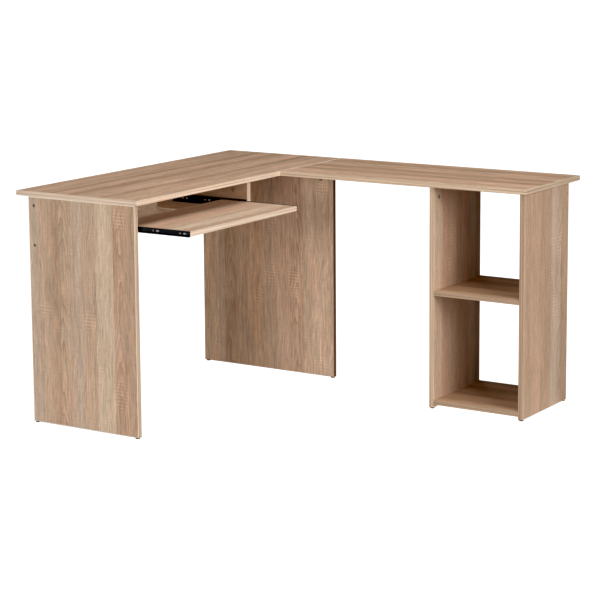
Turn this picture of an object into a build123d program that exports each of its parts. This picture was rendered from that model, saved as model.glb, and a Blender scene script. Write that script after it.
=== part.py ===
from build123d import *
import os

# L-shaped computer desk with a pull-out keyboard tray on ball-bearing slides.
# The boards are 16 mm melamine-faced particle board, held by cam fittings, dowels and long screws.
# Frame: +X to the right along the return, +Y towards the back, +Z up.
# The origin is on the floor, at the middle of the desk's outline.

# ---- Driving dimensions, mm ----
DESK_LENGTH = 1400.0  # X, back edge of the main top to the free end of the return
DESK_WIDTH = 1200.0  # Y, near end of the main top to the back edge
DESK_HEIGHT = 750.0
MAIN_DEPTH = 480.0  # X depth of the main top
RETURN_DEPTH = 400.0  # Y depth of the return top
BOARD = 16.0
EDGE_RADIUS = 0.8

GLIDE_HEIGHT = 4.0
GLIDE_RADIUS = 7.0
GLIDE_INSET = 10.0  # glide centre to the end of its panel
GLIDE_NAIL_RADIUS = 1.0
GLIDE_NAIL_LENGTH = 12.0
GLIDE_ROUNDING = 1.2

END_PANEL_BACK_INSET = 48.0  # back edge of the main top to the end panel
END_PANEL_FRONT_INSET = 12.0
END_PANEL_SIDE_INSET = 2.0

MIDDLE_PANEL_BACK_INSET = 12.0
MIDDLE_PANEL_WIDTH = 550.0
MIDDLE_PANEL_SETBACK = 208.0  # front edge of the return to the panel's near face

MODESTY_BACK_INSET = 62.0
MODESTY_HEIGHT = 190.0

TRAY_WIDTH = 595.0  # Y
TRAY_DEPTH = 300.0  # X
TRAY_TOP = 666.0
TRAY_CLOSED_INSET = 28.0  # front edge of the main top to the front edge of the closed tray
TRAY_OUT = 205.0  # how far the tray is drawn out in the stored position
DIVIDER_HEIGHT = 120.0
DIVIDER_FRONT_INSET = 24.0

PEDESTAL_END_INSET = 10.0
PEDESTAL_WIDTH = 340.0
PEDESTAL_FRONT_INSET = 8.0
PEDESTAL_DEPTH = 328.0
SHELF_FRONT_INSET = 1.0
MIDDLE_SHELF_TOP = 394.0
BOTTOM_SHELF_TOP = 30.0

# Ball-bearing slide: two rolled steel members, 27 mm high, with a ball cage between them
SLIDE_SPACE = 13.0  # wall to tray edge
SLIDE_LENGTH = 300.0
SLIDE_SHEET = 1.2
OUTER_HEIGHT = 27.0
OUTER_REACH = 10.2
OUTER_LIP = 1.2
INNER_HEIGHT = 18.0
INNER_START = 4.6
INNER_REAR_GAP = 2.0
MEMBER_CORNER = 0.5
BALL_RADIUS = 1.6
BALL_OFFSET = 6.4  # wall to the ball's centre
BALL_COUNT = 9
BALL_PITCH = 8.0
CAGE_LENGTH = 76.0
CAGE_SHEET = 0.6
CAGE_WEB = 2.6  # wall to the cage's web
CAGE_REACH = 8.8
CAGE_REAR_CLOSED = 112.0  # rear end of the outer member to the cage, with the tray pushed in
CAGE_RATIO = 0.5
STOP_LUG = 1.2  # the tabs that stop the cage in front and the tray behind
LUG_HEIGHT = 6.0
LUG_INSET = 0.4

OUTER_SCREWS = (57.0, 150.0, 270.0)  # from the rear end of the outer member
INNER_SCREWS = (20.0, 122.0, 270.0)  # from the front end of the inner member
HOLE_SPACING = 17.0  # between a slot and the round hole beside it
SLOT_LENGTH = 12.0
SLOT_WIDTH = 4.6

# Fittings
CAM_RADIUS = 7.5
CAM_DEPTH = 12.5
CAM_REACH = 34.0  # cam centre to the joint
BOLT_HOLE_RADIUS = 4.0
BOLT_BITE = 11.0  # bolt thread in the other board
BOLT_THREAD_RADIUS = 2.5
DOWEL_RADIUS = 4.0
DOWEL_LENGTH = 30.0
DOWEL_IN_FACE = 10.0
LONG_SCREW_LENGTH = 50.0
LONG_SCREW_HEAD_RADIUS = 5.0
LONG_SCREW_SHOULDER_RADIUS = 3.5
LONG_SCREW_SHANK_RADIUS = 2.5
SMALL_SCREW_RADIUS = 1.75
SMALL_SCREW_BITE = 12.0
PLATE_LENGTH = 100.0
PLATE_WIDTH = 30.0
PLATE_THICKNESS = 2.0
FIT_GAP = 0.1  # room round a fitting in its hole
SCREW_CLEARANCE = 0.35  # room round a small screw in steel
DRILL_POINT = 1.0  # how far a blind hole runs on past its fitting

# Places of the fittings
END_PANEL_CAMS = (120.0, 420.0)  # X from the desk's left edge
MIDDLE_PANEL_CAMS = (140.0, 330.0)
DIVIDER_CAMS = (160.0, 396.0)
END_PANEL_DOWELS = (180.0, 360.0)
MIDDLE_PANEL_DOWELS = (230.0, 420.0)
RETURN_CAM_IN = 32.0  # X from the seam between the tops
MODESTY_CAMS = (250.0, 860.0)  # Y from the desk's near end
MODESTY_JOINTS = (29.0, 156.0)  # below the tops
DIVIDER_JOINTS = (29.0, 91.0)
PEDESTAL_CAM_INSET = 35.0  # from a side's front or rear edge
PEDESTAL_DOWEL_INSET = 90.0
SEAM_DOWELS = (50.0, 150.0, 280.0, 360.0)  # Y from the return's front edge
SEAM_PLATES = (105.0, 320.0)
PLATE_SCREWS = (-38.0, -16.0, 16.0, 38.0)  # X from the seam
PLATE_CORNER = 4.0

# ---- Places that follow from the dimensions ----
LEFT = -DESK_LENGTH / 2
RIGHT = DESK_LENGTH / 2
NEAR = -DESK_WIDTH / 2
BACK = DESK_WIDTH / 2
MAIN_FRONT = LEFT + MAIN_DEPTH
RETURN_FRONT = BACK - RETURN_DEPTH
UNDERSIDE = DESK_HEIGHT - BOARD

END_X = (LEFT + END_PANEL_BACK_INSET, MAIN_FRONT - END_PANEL_FRONT_INSET)
END_Y = (NEAR + END_PANEL_SIDE_INSET, NEAR + END_PANEL_SIDE_INSET + BOARD)
MIDDLE_X = (LEFT + MIDDLE_PANEL_BACK_INSET, LEFT + MIDDLE_PANEL_BACK_INSET + MIDDLE_PANEL_WIDTH)
MIDDLE_Y = (RETURN_FRONT + MIDDLE_PANEL_SETBACK, RETURN_FRONT + MIDDLE_PANEL_SETBACK + BOARD)
MODESTY_X = (LEFT + MODESTY_BACK_INSET, LEFT + MODESTY_BACK_INSET + BOARD)
MODESTY_Y = (END_Y[1], MIDDLE_Y[0])
PANEL_Z = (GLIDE_HEIGHT, UNDERSIDE)

TRAY_FRONT = MAIN_FRONT - TRAY_CLOSED_INSET + TRAY_OUT
TRAY_X = (TRAY_FRONT - TRAY_DEPTH, TRAY_FRONT)
TRAY_Y = (END_Y[1] + SLIDE_SPACE, END_Y[1] + SLIDE_SPACE + TRAY_WIDTH)
TRAY_Z = (TRAY_TOP - BOARD, TRAY_TOP)
SLIDE_Z = TRAY_TOP - BOARD / 2
DIVIDER_X = (MODESTY_X[1], MAIN_FRONT - DIVIDER_FRONT_INSET)
DIVIDER_Y = (TRAY_Y[1] + SLIDE_SPACE, TRAY_Y[1] + SLIDE_SPACE + BOARD)
OUTER_X = (TRAY_X[0] - TRAY_OUT - INNER_REAR_GAP, TRAY_X[0] - TRAY_OUT - INNER_REAR_GAP + SLIDE_LENGTH)
INNER_X = (TRAY_X[0], OUTER_X[1] + TRAY_OUT)

SIDE_Y = (RETURN_FRONT + PEDESTAL_FRONT_INSET, RETURN_FRONT + PEDESTAL_FRONT_INSET + PEDESTAL_DEPTH)
RIGHT_SIDE_X = (RIGHT - PEDESTAL_END_INSET - BOARD, RIGHT - PEDESTAL_END_INSET)
LEFT_SIDE_X = (RIGHT_SIDE_X[1] - PEDESTAL_WIDTH, RIGHT_SIDE_X[1] - PEDESTAL_WIDTH + BOARD)
SHELF_X = (LEFT_SIDE_X[1], RIGHT_SIDE_X[0])
SHELF_Y = (SIDE_Y[0] + SHELF_FRONT_INSET, SIDE_Y[1])

BASE = (Align.CENTER, Align.CENTER, Align.MIN)


# ---- Boards ----
def block(x, y, z):
    """A plain box between two limits on each axis."""
    centre = Pos((x[0] + x[1]) / 2, (y[0] + y[1]) / 2, (z[0] + z[1]) / 2)
    return centre * Box(x[1] - x[0], y[1] - y[0], z[1] - z[0])


def board(x, y, z):
    """A board with its edges eased, as edge banding leaves them."""
    plain = block(x, y, z)
    return fillet(plain.edges(), EDGE_RADIUS)


def shelf(top):
    return board(SHELF_X, SHELF_Y, (top - BOARD, top))


boards = {
    "main_top": board((LEFT, MAIN_FRONT), (NEAR, BACK), (UNDERSIDE, DESK_HEIGHT)),
    "return_top": board((MAIN_FRONT, RIGHT), (RETURN_FRONT, BACK), (UNDERSIDE, DESK_HEIGHT)),
    "left_end_panel": board(END_X, END_Y, PANEL_Z),
    "middle_panel": board(MIDDLE_X, MIDDLE_Y, PANEL_Z),
    "modesty_panel": board(MODESTY_X, MODESTY_Y, (UNDERSIDE - MODESTY_HEIGHT, UNDERSIDE)),
    "slide_divider": board(DIVIDER_X, DIVIDER_Y, (UNDERSIDE - DIVIDER_HEIGHT, UNDERSIDE)),
    "pedestal_left_side": board(LEFT_SIDE_X, SIDE_Y, PANEL_Z),
    "pedestal_right_side": board(RIGHT_SIDE_X, SIDE_Y, PANEL_Z),
    "pedestal_middle_shelf": shelf(MIDDLE_SHELF_TOP),
    "pedestal_bottom_shelf": shelf(BOTTOM_SHELF_TOP),
    "keyboard_tray": board(TRAY_X, TRAY_Y, TRAY_Z),
}
holes = {name: [] for name in boards}
groups = {}


def rod(start, direction, radius, length):
    """A round bar that starts at a point and runs along a direction."""
    return Plane(origin=start, z_dir=direction) * Cylinder(radius, length, align=BASE)


def bore(name, start, direction, radius, depth):
    holes[name].append(rod(start, direction, radius, depth))


def add(group, solid):
    groups.setdefault(group, []).append(solid)


def drive_slots(start, direction, reach, width, depth):
    """The cross that a screwdriver turns, as a cutter sunk below a face."""
    face = Plane(origin=start, z_dir=direction)
    bar = Box(reach, width, depth, align=(Align.CENTER, Align.CENTER, Align.MAX))
    return face * (bar + Rot(0, 0, 90) * bar)


# ---- Cam fittings: a cam in one board's face pulls a bolt that is screwed into the other ----
CAM_POCKET_RADIUS = 3.6
CAM_POCKET_BACK = 2.0  # how far the pocket runs behind the cam's centre
CAM_CROSS = (7.0, 1.4, 2.0)  # length, width and depth of the screwdriver's cross
BOLT_HEAD_RADIUS = 3.3
BOLT_HEAD_LENGTH = 3.0
BOLT_NECK_RADIUS = 2.0
BOLT_SHOULDER_RADIUS = 3.5
BOLT_SHOULDER_START = 8.0


def cam_joint(held, other, joint, along, face):
    """Join the edge of one board to another.

    joint is the point on the joint plane in the middle of the held board's thickness, along the
    direction into the other board, and face the outward normal of the face that takes the cam.
    """
    joint = Vector(*joint)
    along = Vector(*along)
    face = Vector(*face)
    centre = joint - along * CAM_REACH
    mouth = centre + face * (BOARD / 2)
    bore(held, mouth, -face, CAM_RADIUS + FIT_GAP, CAM_DEPTH)
    bore(held, centre, along, BOLT_HOLE_RADIUS, CAM_REACH + FIT_GAP)
    bore(other, joint, along, BOLT_THREAD_RADIUS + FIT_GAP, BOLT_BITE + FIT_GAP)

    cam = rod(mouth, -face, CAM_RADIUS, CAM_DEPTH)
    cam -= rod(centre - along * CAM_POCKET_BACK, along, CAM_POCKET_RADIUS, 1.5 * CAM_RADIUS)
    cam -= drive_slots(mouth, face, *CAM_CROSS)
    add("cam_locks", cam)

    bolt = rod(centre - along * BOLT_HEAD_LENGTH / 2, along, BOLT_HEAD_RADIUS, BOLT_HEAD_LENGTH)
    bolt += rod(centre, along, BOLT_NECK_RADIUS, BOLT_SHOULDER_START)
    shoulder_start = centre + along * BOLT_SHOULDER_START
    bolt += rod(shoulder_start, along, BOLT_SHOULDER_RADIUS, CAM_REACH - BOLT_SHOULDER_START)
    bolt += rod(joint, along, BOLT_THREAD_RADIUS, BOLT_BITE)
    add("cam_bolts", bolt)


DOWEL_CHAMFER = 0.8


def dowel_joint(held, other, joint, along, in_other=DOWEL_IN_FACE):
    """A beech dowel, mostly in the held board's edge and partly in the other board."""
    joint = Vector(*joint)
    along = Vector(*along)
    in_held = DOWEL_LENGTH - in_other
    start = joint - along * in_held
    bore(held, start - along * DRILL_POINT, along, DOWEL_RADIUS + FIT_GAP, in_held + DRILL_POINT)
    bore(other, joint, along, DOWEL_RADIUS + FIT_GAP, in_other + DRILL_POINT)
    pin = rod(start, along, DOWEL_RADIUS, DOWEL_LENGTH)
    add("wood_dowels", chamfer(pin.edges().filter_by(GeomType.CIRCLE), DOWEL_CHAMFER))


UP = (0, 0, 1)
middle_of = {
    "left_end_panel": sum(END_Y) / 2,
    "middle_panel": sum(MIDDLE_Y) / 2,
    "slide_divider": sum(DIVIDER_Y) / 2,
    "modesty_panel": sum(MODESTY_X) / 2,
    "pedestal_left_side": sum(LEFT_SIDE_X) / 2,
    "pedestal_right_side": sum(RIGHT_SIDE_X) / 2,
}

# Panels that stand along X, with cams in the face named by its direction in Y
for panel, face_y, cam_places in (
    ("left_end_panel", 1, END_PANEL_CAMS),
    ("middle_panel", -1, MIDDLE_PANEL_CAMS),
    ("slide_divider", -1, DIVIDER_CAMS),
):
    for place in cam_places:
        joint = (LEFT + place, middle_of[panel], UNDERSIDE)
        cam_joint(panel, "main_top", joint, UP, (0, face_y, 0))
return_joint = (MAIN_FRONT + RETURN_CAM_IN, middle_of["middle_panel"], UNDERSIDE)
cam_joint("middle_panel", "return_top", return_joint, UP, (0, -1, 0))

for place in MODESTY_CAMS:
    joint = (middle_of["modesty_panel"], NEAR + place, UNDERSIDE)
    cam_joint("modesty_panel", "main_top", joint, UP, (1, 0, 0))
for down in MODESTY_JOINTS:
    joint = (middle_of["modesty_panel"], MIDDLE_Y[0], UNDERSIDE - down)
    cam_joint("modesty_panel", "middle_panel", joint, (0, 1, 0), (1, 0, 0))

PEDESTAL_CAMS = (SIDE_Y[0] + PEDESTAL_CAM_INSET, SIDE_Y[1] - PEDESTAL_CAM_INSET)
PEDESTAL_DOWELS = (SIDE_Y[0] + PEDESTAL_DOWEL_INSET, SIDE_Y[1] - PEDESTAL_DOWEL_INSET)
for side, inward in (("pedestal_left_side", 1), ("pedestal_right_side", -1)):
    for y in PEDESTAL_CAMS:
        cam_joint(side, "return_top", (middle_of[side], y, UNDERSIDE), UP, (inward, 0, 0))
    for y in PEDESTAL_DOWELS:
        dowel_joint(side, "return_top", (middle_of[side], y, UNDERSIDE), UP)
    outward = (-inward, 0, 0)
    joint_x = SHELF_X[0] if inward > 0 else SHELF_X[1]
    for board_name, top in (
        ("pedestal_middle_shelf", MIDDLE_SHELF_TOP),
        ("pedestal_bottom_shelf", BOTTOM_SHELF_TOP),
    ):
        z = top - BOARD / 2
        for y in PEDESTAL_CAMS:
            cam_joint(board_name, side, (joint_x, y, z), outward, (0, 0, -1))
        for y in PEDESTAL_DOWELS:
            dowel_joint(board_name, side, (joint_x, y, z), outward)

for panel, dowel_places in (
    ("left_end_panel", END_PANEL_DOWELS),
    ("middle_panel", MIDDLE_PANEL_DOWELS),
):
    for place in dowel_places:
        dowel_joint(panel, "main_top", (LEFT + place, middle_of[panel], UNDERSIDE), UP)

# The two tops meet edge to edge, on dowels and over two flat steel plates
for place in SEAM_DOWELS:
    seam_point = (MAIN_FRONT, RETURN_FRONT + place, DESK_HEIGHT - BOARD / 2)
    dowel_joint("return_top", "main_top", seam_point, (-1, 0, 0), DOWEL_LENGTH / 2)


# ---- Screws ----
LONG_SCREW_HEAD_HEIGHT = 2.0
LONG_SCREW_SHOULDER = 12.0
HEX_SOCKET_RADIUS = 2.3
HEX_SOCKET_DEPTH = 3.5
PAN_HEAD_RADIUS = 3.4
PAN_HEAD_HEIGHT = 1.3
PAN_HEAD_ROUNDING = 0.6
PAN_HEAD_CROSS = (3.6, 0.8, 0.9)  # length, width and depth of the screwdriver's cross


def long_screw(clamped, held, start, direction):
    """A 7 mm connecting screw through one board's face into another board's edge."""
    start = Vector(*start)
    direction = Vector(*direction)
    bore(clamped, start, direction, LONG_SCREW_HEAD_RADIUS + FIT_GAP, LONG_SCREW_HEAD_HEIGHT)
    bore(clamped, start, direction, LONG_SCREW_SHOULDER_RADIUS + FIT_GAP, BOARD + FIT_GAP)
    edge = start + direction * BOARD
    in_held = LONG_SCREW_LENGTH - BOARD + DRILL_POINT
    bore(held, edge, direction, LONG_SCREW_SHANK_RADIUS + FIT_GAP, in_held)
    screw = rod(start, direction, LONG_SCREW_HEAD_RADIUS, LONG_SCREW_HEAD_HEIGHT)
    neck = LONG_SCREW_HEAD_HEIGHT + LONG_SCREW_SHOULDER
    screw += rod(start, direction, LONG_SCREW_SHOULDER_RADIUS, neck)
    screw += rod(start, direction, LONG_SCREW_SHANK_RADIUS, LONG_SCREW_LENGTH)
    hexagon = RegularPolygon(HEX_SOCKET_RADIUS, 6)
    socket = Plane(origin=start, z_dir=direction) * extrude(hexagon, HEX_SOCKET_DEPTH)
    add("long_screws", screw - socket)


def small_screw(group, seat, direction):
    """A pan-head chipboard screw whose head sits on a seat and which bites along a direction."""
    seat = Vector(*seat)
    direction = Vector(*direction)
    crown = seat - direction * PAN_HEAD_HEIGHT
    screw = rod(crown, direction, PAN_HEAD_RADIUS, PAN_HEAD_HEIGHT)
    screw = fillet(screw.faces().sort_by(Axis(seat, direction))[0].edges(), PAN_HEAD_ROUNDING)
    screw += rod(seat, direction, SMALL_SCREW_RADIUS, SMALL_SCREW_BITE + SLIDE_SHEET)
    screw -= drive_slots(crown, -direction, *PAN_HEAD_CROSS)
    add(group, screw)


for down in MODESTY_JOINTS:
    start = (middle_of["modesty_panel"], END_Y[0], UNDERSIDE - down)
    long_screw("left_end_panel", "modesty_panel", start, (0, 1, 0))
for down in DIVIDER_JOINTS:
    start = (MODESTY_X[0], middle_of["slide_divider"], UNDERSIDE - down)
    long_screw("modesty_panel", "slide_divider", start, (1, 0, 0))

for place in SEAM_PLATES:
    y = RETURN_FRONT + place
    plate_y = (y - PLATE_WIDTH / 2, y + PLATE_WIDTH / 2)
    plate_x = (MAIN_FRONT - PLATE_LENGTH / 2, MAIN_FRONT + PLATE_LENGTH / 2)
    plate = block(plate_x, plate_y, (UNDERSIDE - PLATE_THICKNESS, UNDERSIDE))
    plate = fillet(plate.edges().filter_by(Axis.Z), PLATE_CORNER)
    for offset in PLATE_SCREWS:
        seat = (MAIN_FRONT + offset, y, UNDERSIDE - PLATE_THICKNESS)
        plate -= rod(seat, UP, SMALL_SCREW_RADIUS + SCREW_CLEARANCE, PLATE_THICKNESS)
        under = "main_top" if offset < 0 else "return_top"
        bore(under, (seat[0], y, UNDERSIDE), UP, SMALL_SCREW_RADIUS + FIT_GAP, SMALL_SCREW_BITE)
        small_screw("seam_plate_screws", seat, UP)
    add("seam_plates", plate)


# ---- Keyboard slides ----
def rolled(x, strips):
    """A rolled steel section, made of (low reach, high reach, low z, high z) strips, along X."""
    section = Sketch()
    for u0, u1, z0, z1 in strips:
        section += Pos((u0 + u1) / 2, (z0 + z1) / 2) * Rectangle(u1 - u0, z1 - z0)
    section = fillet(section.vertices(), MEMBER_CORNER)
    plane = Plane(origin=(x[0], 0, SLIDE_Z), x_dir=(0, 1, 0), z_dir=(1, 0, 0))
    return extrude(plane * section, x[1] - x[0])


def both_edges(u0, u1, z0, z1):
    """The same strip above and below the section's middle."""
    return [(u0, u1, z0, z1), (u0, u1, -z1, -z0)]


def slot(x, u):
    """A cutter for a long hole through the web, along X."""
    plane = Plane(origin=(x, u, SLIDE_Z), x_dir=(1, 0, 0), z_dir=(0, 1, 0))
    return plane * extrude(SlotOverall(SLOT_LENGTH, SLOT_WIDTH), 2 * SLIDE_SHEET, both=True)


def round_hole(x, u, radius):
    return rod((x, u - 2 * SLIDE_SHEET, SLIDE_Z), (0, 1, 0), radius, 4 * SLIDE_SHEET)


def outer_member():
    half = OUTER_HEIGHT / 2
    strips = [(0, SLIDE_SHEET, -half, half)]
    strips += both_edges(0, OUTER_REACH, half - SLIDE_SHEET, half)
    strips += both_edges(OUTER_REACH - SLIDE_SHEET, OUTER_REACH, half - SLIDE_SHEET - OUTER_LIP, half)
    member = rolled(OUTER_X, strips)
    for place in OUTER_SCREWS:
        member -= round_hole(OUTER_X[0] + place, 0, SMALL_SCREW_RADIUS + SCREW_CLEARANCE)
        member -= slot(OUTER_X[0] + place - HOLE_SPACING, 0)
    root = SLIDE_SHEET / 2
    lug_z = (SLIDE_Z - LUG_HEIGHT / 2, SLIDE_Z + LUG_HEIGHT / 2)
    front_lug = (OUTER_X[1] - LUG_INSET - STOP_LUG, OUTER_X[1] - LUG_INSET)
    member += block(front_lug, (root, CAGE_WEB + 2 * CAGE_SHEET), lug_z)
    rear_lug = (OUTER_X[0] + LUG_INSET, OUTER_X[0] + LUG_INSET + STOP_LUG)
    member += block(rear_lug, (root, SLIDE_SPACE - SLIDE_SHEET - LUG_INSET), lug_z)
    return member


def inner_member():
    half = INNER_HEIGHT / 2
    strips = [(SLIDE_SPACE - SLIDE_SHEET, SLIDE_SPACE, -half, half)]
    strips += both_edges(INNER_START, SLIDE_SPACE, half - SLIDE_SHEET, half)
    member = rolled(INNER_X, strips)
    for place in INNER_SCREWS:
        member -= slot(INNER_X[1] - place, SLIDE_SPACE)
        member -= round_hole(INNER_X[1] - place - HOLE_SPACING, SLIDE_SPACE, SLOT_WIDTH / 2)
    return member


def ball_places():
    """Ball centres as (x, z), in an upper and a lower row."""
    middle = cage_x()[0] + CAGE_LENGTH / 2
    race = (OUTER_HEIGHT / 2 - SLIDE_SHEET + INNER_HEIGHT / 2) / 2
    first = middle - BALL_PITCH * (BALL_COUNT - 1) / 2
    return [(first + BALL_PITCH * i, SLIDE_Z + row * race) for row in (-1, 1) for i in range(BALL_COUNT)]


def cage_x():
    rear = OUTER_X[0] + CAGE_REAR_CLOSED + CAGE_RATIO * TRAY_OUT
    return (rear, rear + CAGE_LENGTH)


def ball_cage():
    race = (OUTER_HEIGHT / 2 - SLIDE_SHEET + INNER_HEIGHT / 2) / 2
    edge = race + CAGE_SHEET / 2
    x = cage_x()
    cage = block(x, (CAGE_WEB, CAGE_WEB + CAGE_SHEET), (SLIDE_Z - edge, SLIDE_Z + edge))
    for row in (-1, 1):
        middle = SLIDE_Z + row * race
        cage += block(x, (CAGE_WEB, CAGE_REACH), (middle - CAGE_SHEET / 2, middle + CAGE_SHEET / 2))
    for bx, bz in ball_places():
        start = (bx, BALL_OFFSET, bz - BALL_RADIUS)
        cage -= rod(start, UP, BALL_RADIUS + FIT_GAP, 2 * BALL_RADIUS)
    return cage


def balls():
    return [Pos(bx, BALL_OFFSET, bz) * Sphere(BALL_RADIUS) for bx, bz in ball_places()]


for hand, wall_y, wall_board, tray_edge, side in (
    ("left", END_Y[1], "left_end_panel", TRAY_Y[0], 1),
    ("right", DIVIDER_Y[0], "slide_divider", TRAY_Y[1], -1),
):
    pieces = {"slide_outer_member": [outer_member()], "slide_inner_member": [inner_member()]}
    pieces["ball_cage"] = [ball_cage()]
    pieces["slide_balls"] = balls()
    for kind, solids in pieces.items():
        for solid in solids:
            placed = solid if side > 0 else mirror(solid, about=Plane.XZ)
            add(kind + "_" + hand, Pos(0, wall_y, 0) * placed)
    hole = (SMALL_SCREW_RADIUS + FIT_GAP, SMALL_SCREW_BITE + DRILL_POINT)
    for place in OUTER_SCREWS:
        x = OUTER_X[0] + place
        small_screw("slide_wall_screws", (x, wall_y + side * SLIDE_SHEET, SLIDE_Z), (0, -side, 0))
        bore(wall_board, (x, wall_y, SLIDE_Z), (0, -side, 0), *hole)
    for place in INNER_SCREWS:
        x = INNER_X[1] - place
        small_screw("slide_tray_screws", (x, tray_edge - side * SLIDE_SHEET, SLIDE_Z), (0, side, 0))
        bore("keyboard_tray", (x, tray_edge, SLIDE_Z), (0, side, 0), *hole)


# ---- Glides: a plastic foot on a nail, under each end of every standing panel ----
def glide(panel, x, y):
    foot = rod((x, y, 0), UP, GLIDE_RADIUS, GLIDE_HEIGHT)
    foot = fillet(foot.faces().sort_by(Axis.Z)[0].edges(), GLIDE_ROUNDING)
    nail_start = (x, y, GLIDE_HEIGHT)
    foot += rod(nail_start, UP, GLIDE_NAIL_RADIUS, GLIDE_NAIL_LENGTH)
    bore(panel, nail_start, UP, GLIDE_NAIL_RADIUS + FIT_GAP, GLIDE_NAIL_LENGTH + DRILL_POINT)
    return foot


for panel, x_span in (("left_end_panel", END_X), ("middle_panel", MIDDLE_X)):
    for x in (x_span[0] + GLIDE_INSET, x_span[1] - GLIDE_INSET):
        add("glides_" + panel, glide(panel, x, middle_of[panel]))
for panel in ("pedestal_left_side", "pedestal_right_side"):
    for y in (SIDE_Y[0] + GLIDE_INSET, SIDE_Y[1] - GLIDE_INSET):
        add("glides_" + panel, glide(panel, middle_of[panel], y))

# ---- Export ----
os.makedirs("parts", exist_ok=True)
for name, solid in boards.items():
    finished = solid - holes[name] if holes[name] else solid
    export_step(finished, f"parts/{name}.step")
for name, solids in groups.items():
    export_step(Compound(children=solids) if len(solids) > 1 else solids[0], f"parts/{name}.step")
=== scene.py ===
import math

import bmesh
import bpy
from mathutils import Matrix, Vector


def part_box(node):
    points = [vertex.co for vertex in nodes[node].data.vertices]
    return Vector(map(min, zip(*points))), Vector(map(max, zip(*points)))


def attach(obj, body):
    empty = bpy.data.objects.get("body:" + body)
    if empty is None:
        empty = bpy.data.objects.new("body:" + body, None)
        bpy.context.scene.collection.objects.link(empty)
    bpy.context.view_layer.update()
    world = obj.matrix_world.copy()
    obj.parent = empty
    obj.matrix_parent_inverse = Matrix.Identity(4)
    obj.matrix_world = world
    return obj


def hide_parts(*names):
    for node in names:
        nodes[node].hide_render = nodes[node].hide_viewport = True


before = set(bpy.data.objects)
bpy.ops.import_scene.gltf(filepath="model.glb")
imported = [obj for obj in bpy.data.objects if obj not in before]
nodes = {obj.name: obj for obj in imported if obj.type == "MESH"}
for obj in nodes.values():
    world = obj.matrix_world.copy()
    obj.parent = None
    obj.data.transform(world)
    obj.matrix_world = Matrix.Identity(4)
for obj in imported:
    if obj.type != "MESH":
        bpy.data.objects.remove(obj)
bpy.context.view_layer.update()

# ---- Main top ----
# The long top is particle board faced with melamine paper, printed as sawn oak staves glued side by side.
# The press plate leaves the pores a little sunk in the matt face, and the saw marks a little raised.
# Each edge is closed with a plastic band, with its printed lines along the edge.


def add(tree, kind, inputs=(), **settings):
    """Add a node, set it, and give each input a value or another node's output.

    An operation may follow the node's kind after a colon. A shader node's kind is given without its prefix.
    """
    kind, _, operation = kind.partition(":")
    if not kind.startswith(("Geometry", "Function", "NodeGroup")):
        kind = "ShaderNode" + kind
    if operation:
        settings["operation"] = operation
    made = tree.nodes.new(kind)
    for name, value in settings.items():
        setattr(made, name, value)
    for key, value in inputs.items() if isinstance(inputs, dict) else enumerate(inputs):
        if isinstance(value, bpy.types.Node):
            value = next(output for output in value.outputs if output.enabled)
        if isinstance(value, bpy.types.NodeSocket):
            tree.links.new(value, made.inputs[key])
        else:
            made.inputs[key].default_value = value
    return made


def linear(code):
    """An sRGB hex colour as linear red, green, blue and a full alpha."""
    parts = [int(code[i:i + 2], 16) / 255 for i in (1, 3, 5)]
    return (*[p / 12.92 if p <= 0.04045 else ((p + 0.055) / 1.055) ** 2.4 for p in parts], 1.0)


def finish_for(name):
    """A new material, its tree and its shader."""
    material = bpy.data.materials.new(name)
    material.use_nodes = True
    return material, material.node_tree, material.node_tree.nodes["Principled BSDF"]


def coat(material, *node_names):
    """Give CAD nodes a finish."""
    for node in node_names:
        for slot in nodes[node].material_slots:
            slot.material = material


STAVE_TONES = {
    "pale": "#d4bea7",
    "straw": "#d8b99e",
    "honey": "#c3a48a",
    "grey": "#cab4a1",
    "sand": "#cab09a",
    "rose": "#c8aa94",
    "tan": "#c1a58e",
    "brown": "#b3967e",
}
GREY_CAST = (0.985, 1.005, 1.01, 1.0)  # the two casts that drift along every stave
PINK_CAST = (1.02, 0.995, 0.98, 1.0)
CAST_RANGE = {"From Min": 0.36, "From Max": 0.64}
MM = 1000.0  # mm in a metre
# Width across and length along the grain of each layer of the print, in mm, and its noise detail.
# The hairs and pores are drawn about twice as coarse as printed, so that they show from across a room.
LAYERS = {
    "shade": (38, 420, 2.0),
    "fibre": (8, 170, 4.0),
    "streak": (4.5, 60, 2.0),
    "hair": (2.0, 38, 1.0),
    "cast": (44, 240, 2.0),
    "pore": (1.6, 16, 0.0),
    "drift": (52, 230, 2.0),
    "mill": (50, 75, 1.0),
}
SWINGS = (("shade", 0.40), ("fibre", 0.55), ("streak", 0.50), ("hair", 0.30))  # of the brightness
PRINT_LEVEL = 1.03  # the print's brightness where no layer darkens or lightens it
SWAY = 26.0  # mm that the grain wanders sideways
SWAY_WIDTH, SWAY_LENGTH = 70.0, 130.0  # mm across and along the grain of one such bend
GLUE_LINE_RAG = 16.0  # mm that the print of one stave feathers into the next
RAG_WIDTH, RAG_LENGTH = 4.0, 150.0  # mm across and along the grain of one feather
FAR_HEART = 75.0  # mm to the heart from a stave that shows straight lines, not flames
HEART_WIDTH = 14.0  # mm over which a ring rounds the heart
RING = 8.5  # mm between growth rings on a flank
RING_DRIFT = 46.0  # mm that the rings wander
FLAME_SLOPE = 0.085  # how fast a ring climbs along the grain
LATE_WOOD = "#99795e"
LATE_SHARPNESS = 2.6  # a ring darkens slowly and ends sharply
LATE_DEPTH = 0.5  # how far the late wood darkens the print
FLAME_NEAR, FLAME_FAR = 12.0, 44.0  # mm from the heart, between which the rings fade
FLAME_LEFT = 0.25  # of their strength, past FLAME_FAR
PORE_RANGE = {"From Min": 0.62, "From Max": 0.74}
PORE_DEPTH = 0.30
SAW_PITCH = 11.0  # mm between saw marks
SAW_SHINE = 0.2  # how much a saw mark lightens the print
SAW_RELIEF = 0.8  # how far it stands up, where a pore sinks by 1
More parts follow.
